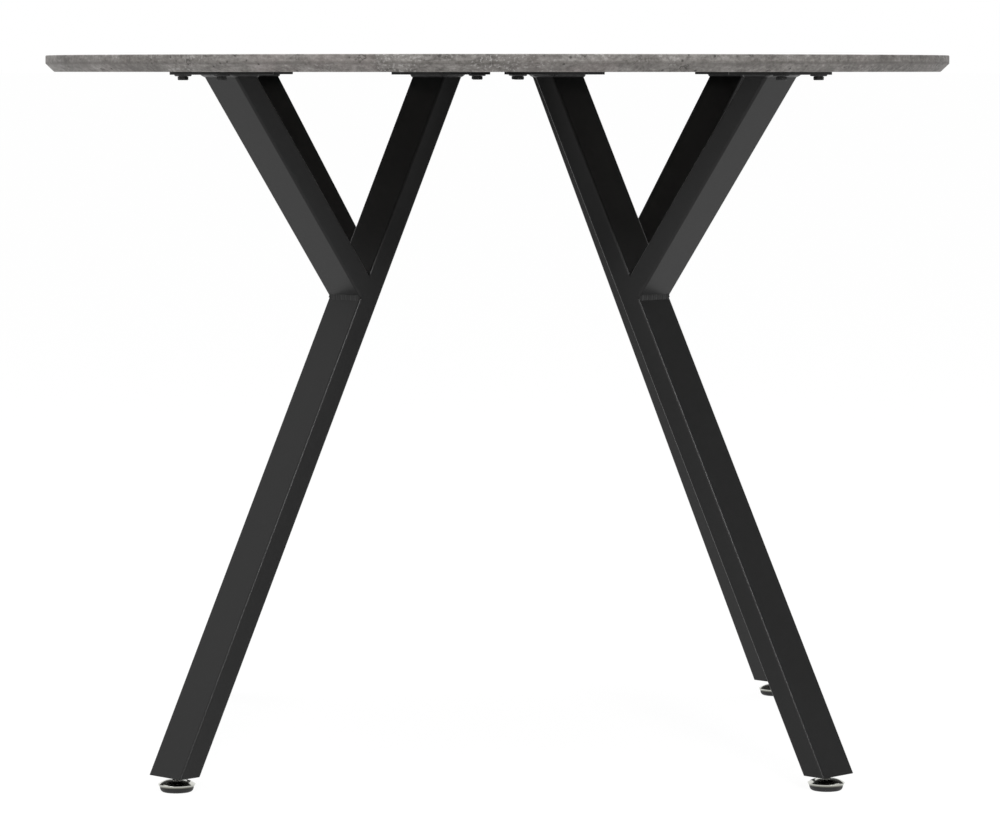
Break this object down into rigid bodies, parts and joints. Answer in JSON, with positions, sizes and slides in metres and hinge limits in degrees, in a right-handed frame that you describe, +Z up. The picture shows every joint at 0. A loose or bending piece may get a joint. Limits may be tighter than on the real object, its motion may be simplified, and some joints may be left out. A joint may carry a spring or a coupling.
{
  "type": "dining table",
  "caption": "Round dining table with a concrete-effect board on four splayed Y-shaped legs of flat steel tube, each on a screwed levelling foot.",
  "frame": {"origin": "on the floor under the middle of the round board, in the plane of the feet's soles", "axes": "+Z up along the board's axis; -Y is the front, towards the viewer; +X to the right. The legs stand on the diagonals between X and Y"},
  "size_m": [0.9999, 1, 0.768],
  "materials": {
    "board": "matte concrete-effect surface on board",
    "coated_steel": "satin anthracite powder coat",
    "black_bolts": "black oxide, satin",
    "zinc_insert": "zinc plated",
    "stem_steel": "zinc plated thread",
    "black_foot": "moulded black plastic, fine grain",
    "chrome_cap": "polished plate"
  },
  "bodies": {
    "table": {"tabletop": "board", "front_left_post": "coated_steel", "front_left_branch": "coated_steel", "front_left_post_plate": "coated_steel", "front_left_branch_plate": "coated_steel", "front_left_welds": "coated_steel", "front_left_bolts": "black_bolts", "front_left_washers": "black_bolts", "front_left_inserts": "zinc_insert", "front_left_plug": "coated_steel", "front_right_post": "coated_steel", "front_right_branch": "coated_steel", "front_right_post_plate": "coated_steel", "front_right_branch_plate": "coated_steel", "front_right_welds": "coated_steel", "front_right_bolts": "black_bolts", "front_right_washers": "black_bolts", "front_right_inserts": "zinc_insert", "front_right_plug": "coated_steel", "rear_left_post": "coated_steel", "rear_left_branch": "coated_steel", "rear_left_post_plate": "coated_steel", "rear_left_branch_plate": "coated_steel", "rear_left_welds": "coated_steel", "rear_left_bolts": "black_bolts", "rear_left_washers": "black_bolts", "rear_left_inserts": "zinc_insert", "rear_left_plug": "coated_steel", "rear_right_post": "coated_steel", "rear_right_branch": "coated_steel", "rear_right_post_plate": "coated_steel", "rear_right_branch_plate": "coated_steel", "rear_right_welds": "coated_steel", "rear_right_bolts": "black_bolts", "rear_right_washers": "black_bolts", "rear_right_inserts": "zinc_insert", "rear_right_plug": "coated_steel"},
    "front_left_foot": {"front_left_foot_base": "black_foot", "front_left_foot_cap": "chrome_cap"},
    "front_left_stem": {"front_left_foot_stem": "stem_steel"},
    "front_right_foot": {"front_right_foot_base": "black_foot", "front_right_foot_cap": "chrome_cap"},
    "front_right_stem": {"front_right_foot_stem": "stem_steel"},
    "rear_left_foot": {"rear_left_foot_base": "black_foot", "rear_left_foot_cap": "chrome_cap"},
    "rear_left_stem": {"rear_left_foot_stem": "stem_steel"},
    "rear_right_foot": {"rear_right_foot_base": "black_foot", "rear_right_foot_cap": "chrome_cap"},
    "rear_right_stem": {"rear_right_foot_stem": "stem_steel"}
  },
  "joints": [
    {"name": "front_left_foot_height", "type": "slide", "parent": "table", "child": "front_left_foot", "axis": [0, 0, -1], "range_m": [0, 0.008]},
    {"name": "front_left_stem_turn", "type": "hinge", "parent": "front_left_foot", "child": "front_left_stem", "pos_m": [-0.33998, -0.33998, 0], "axis": [0, 0, -1], "range_deg": [0, 2304]},
    {"name": "front_right_foot_height", "type": "slide", "parent": "table", "child": "front_right_foot", "axis": [0, 0, -1], "range_m": [0, 0.008]},
    {"name": "front_right_stem_turn", "type": "hinge", "parent": "front_right_foot", "child": "front_right_stem", "pos_m": [0.33998, -0.33998, 0], "axis": [0, 0, -1], "range_deg": [0, 2304]},
    {"name": "rear_left_foot_height", "type": "slide", "parent": "table", "child": "rear_left_foot", "axis": [0, 0, -1], "range_m": [0, 0.008]},
    {"name": "rear_left_stem_turn", "type": "hinge", "parent": "rear_left_foot", "child": "rear_left_stem", "pos_m": [-0.33998, 0.33998, 0], "axis": [0, 0, -1], "range_deg": [0, 2304]},
    {"name": "rear_right_foot_height", "type": "slide", "parent": "table", "child": "rear_right_foot", "axis": [0, 0, -1], "range_m": [0, 0.008]},
    {"name": "rear_right_stem_turn", "type": "hinge", "parent": "rear_right_foot", "child": "rear_right_stem", "pos_m": [0.33998, 0.33998, 0], "axis": [0, 0, -1], "range_deg": [0, 2304]}
  ],
  "couplings": [
    {"joint": "front_left_stem_turn", "follows": "front_left_foot_height", "rad_per_m": 5026.5},
    {"joint": "front_right_stem_turn", "follows": "front_right_foot_height", "rad_per_m": 5026.5},
    {"joint": "rear_left_stem_turn", "follows": "rear_left_foot_height", "rad_per_m": 5026.5},
    {"joint": "rear_right_stem_turn", "follows": "rear_right_foot_height", "rad_per_m": 5026.5}
  ]
}
